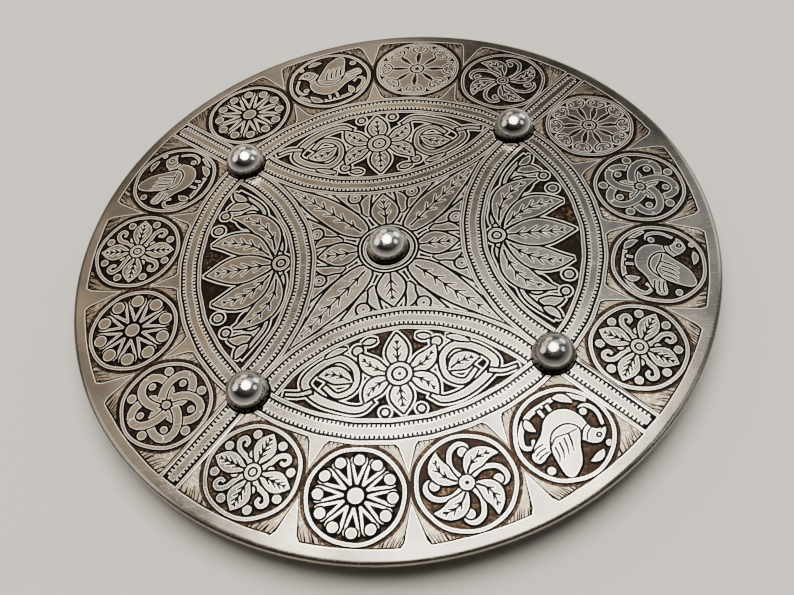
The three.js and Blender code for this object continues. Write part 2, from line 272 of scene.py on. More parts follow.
def arcs():
    """One panel's band, widest part first: each part lies between a wider and a narrower panel. Teeth stop
    short of the ring and of the diagonals, where the band meets its neighbours."""
    marks = []
    for half, level in ((BAND_HALF, LINE), (BORDER_HALF, METAL), (CHANNEL_HALF, LINE), (STRIP_HALF, METAL)):
        outside = panel(ARC_RADIUS + half, PANEL_TOP + RUN_UNDER)
        inside = panel(ARC_RADIUS - half, PANEL_TOP + 3 * RUN_UNDER)
        marks.append((level, hollow(outside, inside)))
    for side in (1, -1):
        squares = teeth_round(1j * ARC_CENTRE, ARC_RADIUS + STRIP_HALF * side, side, -2 * QUARTER, 0)
        off_ring = np.abs(squares).max(1) < PANEL_TOP - TOOTH_GAP
        off_diagonals = np.abs(squares.real).max(1) < squares.imag.min(1) - TOOTH_GAP
        marks += raised(*squares[off_ring & off_diagonals])
    return marks


def ring():
    """The round band, its widest part first: flat rings, and teeth along both edges of the middle one."""
    marks = []
    for half, level in ((BORDER_HALF, METAL), (CHANNEL_HALF, LINE), (STRIP_HALF, METAL)):
        marks.append((level, annulus(BOSS_CIRCLE - half, BOSS_CIRCLE + half)))
    for side in (1, -1):
        marks += raised(*teeth_round(0, BOSS_CIRCLE + STRIP_HALF * side, side, 0, 2 * np.pi))
    return marks


def bar():
    """The straight band from a boss to the rim, along the real axis: rectangles, and squares for teeth."""
    start = BOSS_CIRCLE + BORDER_HALF
    marks = []
    for level, half, end in (
        (LINE, BAND_HALF, FIELD_RADIUS),
        (METAL, BORDER_HALF, BAR_BORDER_END),
        (LINE, CHANNEL_HALF, BAR_CHANNEL_END),
        (METAL, STRIP_HALF, BAR_STRIP_END),
    ):
        edge = np.array([start, end]) + 1j * half
        marks.append((level, np.concatenate((np.conj(edge), edge[::-1]))))
    half = TOOTH_WIDTH / 2
    root, top = STRIP_HALF - TOOTH_ROOT, STRIP_HALF + TOOTH_LENGTH
    tooth = np.array([-half + 1j * root, half + 1j * root, half + 1j * top, -half + 1j * top])
    middles = np.arange(BOSS_CIRCLE + BOSS_RADIUS, BAR_TEETH_END, TOOTH_PITCH)[:, None]
    return marks + raised(*(middles + tooth)) + raised(*np.conj(middles + tooth)[:, ::-1])


# Border: sixteen round medallions, plain wedges between them, and in the corners of each one's field a patch
# of metal whose edge is broken up by short cuts. A wedge has a base, a point and a half width, and flares by
# shares of its half width and length. A patch has its outer side's radius and way, its cuts and the longest.
ROUNDEL_CIRCLE = 46.27
ROUNDEL_RADIUS = 8.04
ROUNDEL_RING = 0.54
ROUNDEL_SINK = 0.72
ROUNDEL_ANGLES = np.radians([32.3, 10.8, -10.8, -32.3])
WEDGE_STEP = np.radians([21.55, 0.0, -21.55])
WEDGE_CUT = 0.34
WEDGE_FLARE = ((1.35, -0.05), (1.3, 0.0), (0.86, 0.16))
PATCH_SEAM = 0.022
PATCH_WAIST = 0.6
inner_border = BOSS_CIRCLE + BORDER_HALF
inner_field = inner_border + 0.3
PATCHES = ((inner_field, -1, 9, 1.0), (FIELD_RADIUS - 0.35, 1, 20, 2.4))
WEDGES = ((inner_border - 0.1, 42.9, 1.4), (FIELD_RADIUS + 0.15, 48.0, 1.95))
rng = np.random.default_rng(7)


def wedge(base, point, half):
    """A wedge that points up the imaginary axis: straight sides that flare where it joins the plain metal."""
    right = [half * wide + 1j * (base + along * (point - base)) for wide, along in WEDGE_FLARE]
    return np.array([*right, 1j * point, *(-np.conj(p) for p in right[::-1])])


def corner_patches(angle, turns):
    """The four patches round one medallion, from the ring or the rim in to its middle, and their cuts: each
    starts near its equal step along the outer side and slants inwards, a little by chance."""
    middle = ROUNDEL_CIRCLE * np.exp(1j * angle)
    marks, cuts = [], []
    for turn in turns:
        side = np.sign(turn - angle)
        for radius, outwards, count, longest in PATCHES:
            wall = radius * np.exp(1j * np.linspace(turn, angle + PATCH_SEAM * side, 7))
            waist = (ROUNDEL_CIRCLE + PATCH_WAIST * outwards) * np.exp(1j * turn)
            marks.append((HATCHED, np.array([*wall, middle, waist])))
            spread = np.linspace(0.06, 0.94, count) + rng.uniform(-0.02, 0.02, count)
            roots = radius * np.exp(1j * (turn + (angle - turn) * spread))
            slant = rng.uniform(0.0, 0.3, count) + 0.2
            way = (-outwards + 1j * side * slant) * np.exp(1j * angle)
            length = rng.uniform(0.4, 1.0, count) * longest
            cuts += incised(*(ribbon(cut, 0.26, 0.12) for cut in zip(roots, roots + way * length)))
    return marks + cuts + [(GROUND, circle(middle, ROUNDEL_RADIUS + ROUNDEL_SINK))]


# Ornament of the medallions: drop-petalled and wheel rosettes, a plaited knot, whirling leaves, a leafy cross
# and a bird, each drawn by its own points and widths about the medallion's middle, the rim upwards.
def petal_rosette(count=12):
    """Drops round a hub: each runs from a narrow root to an arc, and holds a cut drop with a bead in it."""
    head = 0.92 * (5.7 * np.sin(np.pi / count))
    arc = 5.75j + head * np.exp(1j * np.linspace(-0.1 * np.pi, 1.1 * np.pi, 12))
    drop = np.concatenate(([0.16 + 1.9j], arc, [-0.16 + 1.9j]))
    arc = 5.5j + (head - 0.42) * np.exp(1j * np.linspace(0, np.pi, 8))
    cut_drop = np.concatenate(([2.75j + 0.04], arc, [2.75j - 0.04]))
    petal = raised(drop) + incised(cut_drop) + raised(circle(5.95j, head - 0.5))
    return around(petal, spokes(count)) + raised(circle(0, 1.25))


def wheel_rosette(count=8):
    """A plain round with pointed spokes cut into it, and at each spoke's end two curls and a small scale."""
    marks = raised(circle(0, 7.28))
    hook = smooth([4.75j, 0.5 + 5.05j, 1.2 + 5.5j, 1.5 + 6.2j, 1.0 + 6.65j, 0.55 + 6.3j])
    scale = np.array([-0.95 + 7.4j, -0.35 + 6.95j, 6.1j, 0.35 + 6.95j, 0.95 + 7.4j])
    point = leaf(1.5j, 5.0j, 0.72, full=0.6)
    curls = incised(ribbon(hook, 0.3, 0.42, 0.36), circle(0.66 + 6.28j, 0.26))
    spoke = incised(grown(point, 0.12)) + [(GROUND, point)] + curls + mirrored(curls)
    for turn in spokes(count):
        marks += placed(spoke, 0, turn) + placed(incised(scale), 0, turn * np.exp(1j * np.pi / count))
    return marks + incised(circle(0, 1.5)) + rounds(0, 1.05, 0.5)


def knot(lobes, turns, middle=3.9, swing=2.35, width=1.35, cuts=0.7):
    """A plait: a line that swings in and out while it goes round several times, over and under itself."""
    passes = 2 * lobes * (turns - 1)
    marks = []
    for layer in (1, 0):
        for k in range(layer, passes, 2):
            t = np.linspace(k - 0.5, k + 0.5, 9) / passes * 2 * np.pi * turns + np.pi / lobes
            line = (middle + swing * np.cos(lobes * t / turns)) * np.exp(1j * t)
            marks += incised(ribbon(line, width + cuts)) + raised(ribbon(line, width))
    return marks


def plaited_knot(lobes=5):
    """The plait, with a bead in each of its loops and one outside between each two, and one in the middle."""
    inner = [circle(4.55 * way, 0.62) for way in spokes(lobes)]
    outer = [circle(6.35 * way * np.exp(1j * np.pi / lobes), 0.8) for way in spokes(lobes)]
    return carved(raised(*inner, *outer)) + knot(lobes, 2) + carved(raised(circle(0, 0.7)))


def veined_leaf(root, tip, width, bow=0.0, full=0.45, veins=4):
    """A leaf that stands out, with its middle line and slanting side lines cut into it."""
    line = leaf_line(root, tip, bow)
    marks = raised(leaf(root, tip, width, bow, full)) + incised(ribbon(line[1:-2], 0.5, 0.26))
    for k in range(veins):
        at = (k + 1.4) / (veins + 1.6) * (len(line) - 1)
        joint = np.interp(at, np.arange(len(line)), line)
        way = (tip - root) / abs(tip - root) * np.exp(1j * bow * 2.4 * (1 - 2 * at / len(line)))
        reach = width * 0.42 * math.sin(math.pi * min(at / len(line) + 0.12, 1))
        for side in (1, -1):
            marks += incised(ribbon([joint, joint + reach * way * np.exp(0.6j * side)], 0.42, 0.28))
    return marks


def whirl(arms=4):
    """Bowed leaves that chase each other round a hub, with a tendril and a berry in each gap."""
    tendril = smooth([0.9 - 0.6j, 3.0 - 1.6j, 5.4 - 1.1j, 6.4 + 0.5j, 5.7 + 1.7j, 4.7 + 1.2j])
    curl = raised(ribbon(tendril, 0.55, 0.75, 0.5), circle(4.9 + 0.9j, 0.75))
    blade = veined_leaf(0.9 + 0.3j, 3.2 + 6.2j, 3.1, -0.24, 0.5, 3)
    return around(curl, spokes(arms)) + around(blade, spokes(arms)) + rounds(0, 1.15, 0.4)


def leafy_cross():
    """Four broad leaves on the axes, each between two beads, and between them curls from the hub."""
    stem = smooth([0.9, 2.6 + 0.1j, 4.5 + 0.9j, 5.9 + 0.6j, 6.1 - 0.4j, 5.2 - 0.75j, 4.7 - 0.1j])
    curl = raised(ribbon(stem, 0.75, 0.75, 0.5), circle(2.9 - 0.95j, 0.6))
    arm = raised(*(circle(6.3 * np.exp(0.39j * side), 0.72) for side in (1, -1)))
    arm += veined_leaf(1.0, 7.0, 3.5, 0, 0.55, 4)
    return around(curl, DIAGONAL * QUARTERS) + around(arm, QUARTERS) + rounds(0, 1.35, 0.85, 0.5)


def bird():
    """A plump bird on a branch: closed curves for body and wing, cut lines for feathers, collar and beak."""
    branch = smooth([
        -6.6 - 2.6j, -4.2 - 5.2j, -0.6 - 5.9j, 3.0 - 5.6j, 5.4 - 4.2j, 6.4 - 2.2j, 5.3 - 1.2j, 4.5 - 2.2j,
    ])
    twig = smooth([-5.8 + 2.3j, -6.6 + 0.2j, -6.2 - 1.6j, -5.0 - 2.1j, -4.6 - 1.1j])
    body = smooth([
        -5.7 + 2.9j, -4.9 + 3.9j, -3.7 + 4.4j, -2.5 + 3.6j, -1.5 + 2.2j, 0.6 + 1.5j, 3.2 + 0.9j, 6.0 + 1.5j,
        6.5 + 0.1j, 5.0 - 1.1j, 2.9 - 2.1j, 0.8 - 3.7j, -1.5 - 3.9j, -3.3 - 2.7j, -4.0 - 0.8j, -3.9 + 1.2j,
        -4.5 + 2.4j,
    ], True, 4)
    wing = smooth([
        -2.3 + 0.6j, -0.9 + 2.8j, 0.9 + 5.2j, 3.2 + 6.3j, 4.2 + 5.4j, 3.9 + 3.2j, 3.0 + 0.7j, 1.2 - 1.2j,
        -1.1 - 1.1j,
    ], True, 5)
    marks = raised(
        ribbon(branch, 0.6, 0.8, 0.45),
        ribbon(twig, 0.45, 0.6, 0.4),
        circle(-4.95 - 1.25j, 0.55),
        leaf(-2.6 - 5.9j, -4.6 - 3.4j, 1.2, 0.1),
        leaf(3.2 - 5.5j, 3.2 - 3.1j, 1.2, -0.15),
        circle(-4.6 + 5.4j, 0.5),
        leaf(-3.2 + 5.7j, -0.4 + 5.9j, 1.1, 0.12),
        circle(5.6 + 3.4j, 0.62),
        ribbon([-0.9 - 3.6j, -1.1 - 5.5j], 0.45),
        ribbon([0.5 - 3.4j, 0.5 - 5.5j], 0.45),
        body,
    )
    for k in range(3):
        feather = [3.6 + (0.75 - 0.75 * k) * 1j, 5.0 + (0.7 - 0.75 * k) * 1j, 6.0 + (0.95 - 0.7 * k) * 1j]
        marks += incised(ribbon(smooth(feather), 0.34, 0.36))
    marks += raised(wing)
    for k in range(4):
        start = -0.6 + 1.0 * k + (0.2 + 0.15 * k) * 1j
        feather = [start, start + 0.5 + 1.6j, start + 1.3 + (3.1 - 0.2 * k) * 1j]
        marks += incised(ribbon(smooth(feather), 0.4, 0.4, 0.24))
    shoulder = [-2.2 + 0.5j, -0.4 + 0.2j, 1.4 - 0.4j, 2.8 + 0.3j]
    collar = [-4.0 + 1.6j, -3.0 + 2.0j, -2.2 + 3.0j]
    low_collar = [-4.1 + 0.7j, -2.8 + 1.1j, -1.7 + 2.3j]
    marks += incised(*(ribbon(smooth(line), 0.36) for line in (shoulder, collar, low_collar)))
    eye = -4.2 + 3.35j
    beak = ribbon([-5.6 + 2.75j, -4.7 + 2.8j], 0.3, 0.2)
    return marks + incised(circle(eye, 0.42)) + raised(circle(eye, 0.14)) + incised(beak)


def medallion(ornament):
    """A sunk round with its ornament standing in it, then the metal ring round it between two cut lines."""
    inside = ROUNDEL_RADIUS - ROUNDEL_RING
    marks = [(GROUND, circle(0, ROUNDEL_RADIUS - 0.1))] + ornament
    marks += incised(annulus(inside - 0.24, ROUNDEL_RADIUS + 0.26))
    return marks + raised(annulus(inside, ROUNDEL_RADIUS))


petals, fewer_petals = carved(petal_rosette(12)), carved(petal_rosette(10))
wheel, fuller_wheel = carved(wheel_rosette(8)), carved(wheel_rosette(10))
leaves, cross, perched = carved(whirl()), carved(leafy_cross()), carved(bird())
ORNAMENTS = (
    (petals, perched, wheel, leaves),
    (plaited_knot(), fewer_petals, cross, mirrored(perched)),
    (perched, mirrored(leaves), petals, cross),
    (fuller_wheel, plaited_knot(), perched, cross),
)


def border(quarter_turn, ornaments):
    """A quarter of the border: patches, wedges, then medallions, each turned to its angle."""
    marks = []
    edges = [QUARTER / 2, *WEDGE_STEP, -QUARTER / 2]
    for angle, turns in zip(ROUNDEL_ANGLES, zip(edges[:-1], edges[1:])):
        marks += corner_patches(angle, turns)
    for angle in WEDGE_STEP:
        for sizes in WEDGES:
            marks += placed(carved(raised(wedge(*sizes)), WEDGE_CUT), 0, np.exp(1j * (angle - QUARTER)))
    for angle, ornament in zip(ROUNDEL_ANGLES, ornaments):
        turn = np.exp(1j * angle)
        marks += placed(medallion(ornament), ROUNDEL_CIRCLE * turn, turn / 1j)
    return placed(marks, 0, quarter_turn * 1j)


# Ornament of the panels and the middle: tall sprays of veined leaves and scrolling stems with berries, each
# drawn by its own points and widths on the disc's plan, in the upper panel.
def spray():
    """A tree of leaves for a panel: tendrils and outer leaves, the inner ones over them, then the foot."""
    tendril = [1.2 + 19.0j, 5.0 + 19.3j, 9.6 + 21.2j, 12.6 + 24.0j, 11.6 + 26.2j, 9.8 + 25.2j, 10.6 + 23.9j]
    half = raised(
        ribbon(smooth(tendril), 0.7, 0.62, 0.4),
        ribbon(smooth([9.8 + 21.3j, 13.0 + 22.1j, 15.6 + 24.0j, 17.8 + 26.2j]), 0.4, 0.55, 0.3),
        circle(10.75 + 24.9j, 0.62),
        leaf(14.4 + 24.4j, 14.2 + 28.4j, 1.7, -0.12),
        leaf(15.9 + 24.9j, 18.2 + 27.3j, 1.3, 0.1),
        circle(12.9 + 28.9j, 0.6),
        leaf(2.6 + 18.5j, 6.6 + 18.95j, 0.9, 0.05),
    )
    half += veined_leaf(2.0 + 19.8j, 12.2 + 27.6j, 4.0, -0.2, 0.5, 4)
    half += veined_leaf(1.2 + 20.3j, 6.4 + 31.3j, 4.6, -0.15, 0.55, 5)
    half += raised(circle(9.6 + 30.1j, 0.75))
    top = veined_leaf(19.6j, 32.3j, 5.6, 0, 0.5, 5)
    return half + mirrored(half) + top + rounds(18.9j, 1.5, 0.95, 0.55)


def scroll():
    """A running stem for a panel: it winds along the panel and ends in spirals, each round a leaf."""
    stem = [
        4.9 + 29.9j, 6.8 + 31.0j, 10.0 + 30.2j, 13.6 + 28.0j, 15.6 + 25.0j, 13.2 + 22.4j, 9.6 + 21.2j,
        7.2 + 23.4j, 7.6 + 26.9j, 10.4 + 28.1j, 12.4 + 26.2j,
    ]
    half = raised(
        ribbon(smooth(stem), 0.6, 1.15, 1.1, 0.85, 0.5),
        ribbon(smooth([14.6 + 26.6j, 16.8 + 26.9j, 18.9 + 26.4j]), 0.5, 0.3),
    )
    half += veined_leaf(7.9 + 25.9j, 13.2 + 24.0j, 3.0, -0.12, 0.5, 3)
    half += raised(
        circle(6.5 + 20.2j, 0.75),
        leaf(3.4 + 18.6j, 5.6 + 19.0j, 0.9),
        leaf(8.3 + 19.4j, 12.0 + 20.8j, 0.9, -0.05),
        circle(2.9 + 32.1j, 0.5),
    )
    half += veined_leaf(1.3 + 24.9j, 6.2 + 20.8j, 2.9, 0.14, 0.5, 3)
    half += veined_leaf(1.3 + 26.0j, 5.9 + 29.9j, 2.9, -0.14, 0.5, 3)
    upright = veined_leaf(26.4j, 32.5j, 3.3, 0, 0.5, 3) + veined_leaf(24.6j, 18.0j, 3.3, 0, 0.5, 3)
    return half + mirrored(half) + upright + rounds(25.4j, 2.0, 1.4, 1.0, 0.35)


def middle_field():
    """Four long leaves to the corner bosses, four short ones to the arcs, and three-part sprigs between."""
    sprig = raised(leaf(7.7 + 2.9j, 12.9 + 2.1j, 1.7, 0.16), leaf(8.6 + 4.3j, 17.2 + 12.4j, 1.9, -0.1, 0.4))
    sprig += rounds(12.35 + 5.1j, 1.05, 0.3)
    marks = around(sprig + [(level, np.conj(outline)) for level, outline in sprig], QUARTERS)
    for quarter in QUARTERS:
        marks += placed(veined_leaf(4.5, 12.3, 4.6, 0, 0.5, 3), 0, quarter)
        marks += placed(veined_leaf(4.6, 25.0, 5.0, 0, 0.34, 7), 0, DIAGONAL * quarter)
    return marks + rounds(0, 5.0, 4.55, 4.35)


face = [(GROUND, circle(0, PANEL_TOP + RUN_UNDER))] + carved(middle_field(), 0.52, 0.75)
for quarter, ornament in zip(QUARTERS, (scroll, spray, scroll, spray)):
    face += placed(carved(ornament(), 0.5, 0.7), 0, quarter)
face += around(arcs(), QUARTERS) + incised(annulus(PANEL_TOP - FINE_CUT, FIELD_RADIUS))
face.append((GROUND, annulus(inner_field, FIELD_RADIUS - FINE_CUT)))
for quarter, ornaments in zip(QUARTERS, ORNAMENTS):
    face += border(quarter, ornaments)
face += ring() + around(bar(), DIAGONAL * QUARTERS)
face += incised(*(annulus(BOSS_RADIUS - BOSS_COVER, BOSS_RADIUS + FINE_CUT, boss) for boss in bosses))

# Disc's mesh: the plan is cut into triangles along the drawing's visible edges, each level's triangles lie
# at their depth under the dome, and walls join the levels. A rounded rim and a plain back close the sheet.
FACE_EDGE = 56.1
RIM_DROP = 0.42
RIM_WAVE = 0.035
BACK_ROUND = 0.4
GRID_STEP = 1.5
GRID_ROW = 0.87
GRID_MARGIN = 0.8
CELL = 0.5
MERGE_WITHIN = 1e-4
RIM_POINTS = 360
HAND_WANDER = 0.05
LINE_SLACK = 0.012
STRAIGHTENING_ROUNDS = 6
SHARP_ANGLE = math.radians(32)


def by_hand(plan):
    """A steady hand's small errors: every point is shifted by slow waves of its own place."""
    x, y = plan.real, plan.imag
    across = np.sin(0.43 * x + 1.7 * np.sin(0.31 * y)) + np.sin(0.97 * y + 1.1)
    along = np.sin(0.39 * y + 1.3 * np.sin(0.29 * x + 2)) + np.sin(1.03 * x + 0.4)
    return plan + HAND_WANDER * (across + 1j * along)


def in_outline(points, outline):
    """Whether an outline winds round each point: edges to its right count up or down. Points go by height."""
    start, end = outline, np.roll(outline, -1)
    first = np.searchsorted(points.imag, np.minimum(start.imag, end.imag))
    count = np.searchsorted(points.imag, np.maximum(start.imag, end.imag)) - first
    edge = np.repeat(np.arange(len(outline)), count)
    place = np.arange(len(edge)) - np.repeat(np.cumsum(count) - count, count) + first[edge]
    rise = (end - start)[edge].imag
    crossing = start[edge].real + (points[place] - start[edge]).imag / rise * (end - start)[edge].real
    right = crossing > points[place].real
    turns = np.bincount(place[right], np.sign(rise[right]), len(points))
    return np.abs(turns) > 0.5


def levels_at(points, marks):
    """The level at each point: each mark in turn is laid over the points that it holds."""
    order = np.argsort(points.imag)
    sorted_points = points[order]
    levels = np.full(len(points), METAL)
    for level, outline in marks:
        low, high = np.searchsorted(sorted_points.imag, [outline.imag.min(), outline.imag.max()])
        held = in_outline(sorted_points[low:high], outline)
        levels[order[low:high][held]] = level
    return levels


def triangles(points, edges):
    """Triangles over all points that keep the given edges: the points, new where edges cross, and corners."""
    corners = [Vector((p.real, p.imag)) for p in points]
    made, _, faces, *_ = delaunay_2d_cdt(corners, edges.tolist(), [], 0, MERGE_WITHIN, False)
    return np.array([complex(*p) for p in made]), np.array(faces)


def sides(corners, levels):
    """Each triangle's three sides: their ends, their own level and that across them, -1 past the rim."""
    start, end = corners.ravel(), np.roll(corners, -1, 1).ravel()
    own = np.repeat(levels, 3)
    key = start.astype(np.int64) * (corners.max() + 1) + end
    twin = end.astype(np.int64) * (corners.max() + 1) + start
    order = np.argsort(key)
    found = np.minimum(np.searchsorted(key, twin, sorter=order), len(key) - 1)
    other = np.where(key[order[found]] == twin, own[order[found]], -1)
    return start, end, own, other


def straightened(points, edges):
    """Fewer edges for the same lines: in a few rounds, a point between two edges goes where the chord past it
    stays within the slack, the flattest of neighbours first."""
    for _ in range(STRAIGHTENING_ROUNDS):
        ends = edges.ravel()
        degree = np.bincount(ends, minlength=len(points))
        by_point = np.argsort(ends, kind="stable")
        between = np.flatnonzero(degree == 2)
        place = (np.cumsum(degree) - degree)[between]
        one, two = (edges[by_point[place + k] // 2, 1 - by_point[place + k] % 2] for k in (0, 1))
        chord = points[two] - points[one]
        length = np.where(chord == 0, 1, np.abs(chord))
        offset = np.abs((np.conj(chord) * (points[between] - points[one])).imag) / length
        miss = np.full(len(points), np.inf)
        miss[between] = np.where(chord == 0, np.inf, offset + 1e-9 * between)
        goes = (miss[between] < LINE_SLACK) & (miss[between] < miss[one]) & (miss[between] < miss[two])
        stay = ~np.isin(edges, between[goes]).any(1)
        edges = np.vstack((edges[stay], np.column_stack((one[goes], two[goes]))))
    return edges


face = [(level, by_hand(outline)) for level, outline in face]
face += raised(annulus(FIELD_RADIUS, FACE_EDGE + 1))
rim_circle = FACE_EDGE * spokes(RIM_POINTS)
outlines = [outline for _, outline in face[:-1]] + [circle(0, FIELD_RADIUS), rim_circle]
ends = np.cumsum([len(outline) for outline in outlines])
starts = ends - [len(outline) for outline in outlines]
following = np.arange(1, ends[-1] + 1)
following[ends - 1] = starts
plan, corners = triangles(np.concatenate(outlines), np.column_stack((np.arange(ends[-1]), following)))
start, end, own, other = sides(corners, levels_at(plan[corners].mean(1), face))

# The straightened edges and the rim are cut into triangles again, with a loose grid of points between.
lines = (own != other) & (start < end) & (other >= 0)
kept = straightened(plan, np.column_stack((start[lines], end[lines])))
kept = np.vstack((kept, np.column_stack((start[other < 0], end[other < 0]))))
used, pairs = np.unique(kept, return_inverse=True)
rows = np.arange(-FACE_EDGE, FACE_EDGE, GRID_STEP)
grid = (rows[:, None] + GRID_STEP / 2 * (np.arange(len(rows)) % 2) + 1j * GRID_ROW * rows).ravel()
cells = np.round(np.concatenate((plan[used], grid)) / CELL)
_, first_in_cell = np.unique(cells, return_index=True)
free = np.isin(np.arange(len(used), len(cells)), first_in_cell) & (np.abs(grid) < FACE_EDGE - GRID_MARGIN)
plan, corners = triangles(np.concatenate((plan[used], grid[free])), pairs.reshape(-1, 2))
levels = levels_at(plan[corners].mean(1), face)
heights = np.where(levels == HATCHED, METAL, levels)
start, end, own, other = sides(corners, heights)

# Each plan point is made once for each height that its triangles have.
stacked, corners = np.unique(corners * 3 + heights[:, None], return_inverse=True)
corners = corners.reshape(-1, 3)
index = np.full((len(plan), 3), -1)
index[stacked // 3, stacked % 3] = np.arange(len(stacked))
top = plan[stacked // 3]
points = [np.column_stack((top.real, top.imag, dome(top, LEVEL_DEPTH[stacked % 3])))]

# Walls between levels, with the ground's point on the way down where there is one.
wall = (own < other) & (other >= 0)
a, b, upper, lower = start[wall], end[wall], own[wall], other[wall]
past_ground = (upper == METAL) & (lower == LINE)
between_a = (index[a, GROUND] >= 0) & past_ground
between_b = (index[b, GROUND] >= 0) & past_ground
down = (index[a, upper], index[a, GROUND], index[a, lower])
across = (index[b, lower], index[b, GROUND], index[b, upper])
walls = []
for has_a in (False, True):
    for has_b in (False, True):
        rows = (between_a == has_a) & (between_b == has_b)
        keep = (True, has_a, True, True, has_b, True)
        columns = [corner[rows] for corner, wanted in zip((*down, *across), keep) if wanted]
        walls += np.column_stack(columns).tolist()

# Rim and back: rings of points from the face's edge round to the middle of the back.
edge_ids = np.flatnonzero(np.abs(top) > FACE_EDGE - 0.01)
edge_ids = edge_ids[np.argsort(np.angle(top[edge_ids]))]
turn = top[edge_ids] / np.abs(top[edge_ids])
wave = RIM_WAVE * (1 + np.sin(5 * np.angle(turn)) * np.sin(7 * np.angle(turn) + 1))
steps = np.linspace(0, QUARTER, 8)[1:]
rim_reach = DISC_RADIUS - FACE_EDGE
back_edge = DISC_RADIUS - BACK_ROUND
profile = [(FACE_EDGE + rim_reach * math.sin(t), RIM_DROP * (1 - math.cos(t))) for t in steps]
for t in steps:
    profile.append((DISC_RADIUS - BACK_ROUND * (1 - math.cos(t)), SHEET - BACK_ROUND * (1 - math.sin(t))))
profile += [(radius, SHEET) for radius in np.linspace(back_edge, 0, 14)[1:-1]]
for radius, depth in profile:
    ring_points = (radius - wave * (radius > FACE_EDGE + 0.3)) * turn
    points.append(np.column_stack((ring_points.real, ring_points.imag, dome(ring_points, depth))))
points = np.concatenate((*points, [[0, 0, dome(np.array(0.0), SHEET)]]))
rings = np.vstack((edge_ids, len(top) + np.arange(len(profile) * len(turn)).reshape(len(profile), -1)))
beside = np.roll(rings, -1, 1)
skin = np.stack((rings[:-1], rings[1:], beside[1:], beside[:-1]), -1)
pole = np.column_stack((rings[-1], np.full(len(turn), rings.max() + 1), beside[-1]))

disc_mesh = bpy.data.meshes.new("engraved_disc")
rim_and_back = skin.reshape(-1, 4).tolist() + pole.tolist()
disc_mesh.from_pydata(points * MM, [], corners.tolist() + walls + rim_and_back)
rim_faces = 2 * len(steps) * len(turn)
back_faces = (len(profile) - 2 * len(steps)) * len(turn) + len(pole)
slots = np.concatenate((levels, np.full(len(walls), LINE), np.zeros(rim_faces, int), np.full(back_faces, 4)))
disc_mesh.polygons.foreach_set("material_index", slots)
disc_mesh.polygons.foreach_set("use_smooth", np.ones(len(slots), bool))
disc_mesh.set_sharp_from_angle(angle=SHARP_ANGLE)
disc = bpy.data.objects.new("engraved_disc", disc_mesh)
bpy.context.collection.objects.link(disc)


def new_finish(name):
    """An empty finish: its material and shader, and the makers that the finishes are put together with."""
    made = bpy.data.materials.new(name)
    made.use_nodes = True
    tree = made.node_tree

    def put(socket, value):
        """Links a node's output to a socket, or sets the socket to a constant."""
        if isinstance(value, bpy.types.NodeSocket):
            tree.links.new(value, socket)
        else:
            socket.default_value = value

    def add(kind, sockets, **settings):
        """A node with its sockets put and its settings set: gives its first output."""
        node = tree.nodes.new("ShaderNode" + kind)
        for setting, value in settings.items():
            setattr(node, setting, value)
        for socket, value in sockets.items():
            put(node.inputs[socket], value)
        return node.outputs[0]

    def noise(place, scale, detail, roughness=0.5):
        """Noise at a place: so many waves a metre, in so many layers."""
        return add("TexNoise", {"Vector": place, "Scale": scale, "Detail": detail, "Roughness": roughness})

    def maths(operation, *values):
        """A sum worked out on its values in turn."""
        return add("Math", dict(enumerate(values)), operation=operation)

    def mix(share, first, second):
        """From the first colour to the second by a share."""
        node = tree.nodes.new("ShaderNodeMix")
        node.data_type = "RGBA"
        for socket, value in zip((0, 6, 7), (share, first, second)):
            put(node.inputs[socket], value)
        return node.outputs[2]

    def ranged(value, low, high, start=0.0, end=1.0):
        """A value's range from low to high, laid on the range from start to end and held there."""
        return add("MapRange", dict(zip(range(5), (value, low, high, start, end))))

    def shade(**sockets):
        """The finished material, its shader's sockets put by name."""
        for socket, value in sockets.items():
            put(tree.nodes["Principled BSDF"].inputs[socket.replace("_", " ")], value)
        return made

    return add, noise, maths, mix, ranged, shade


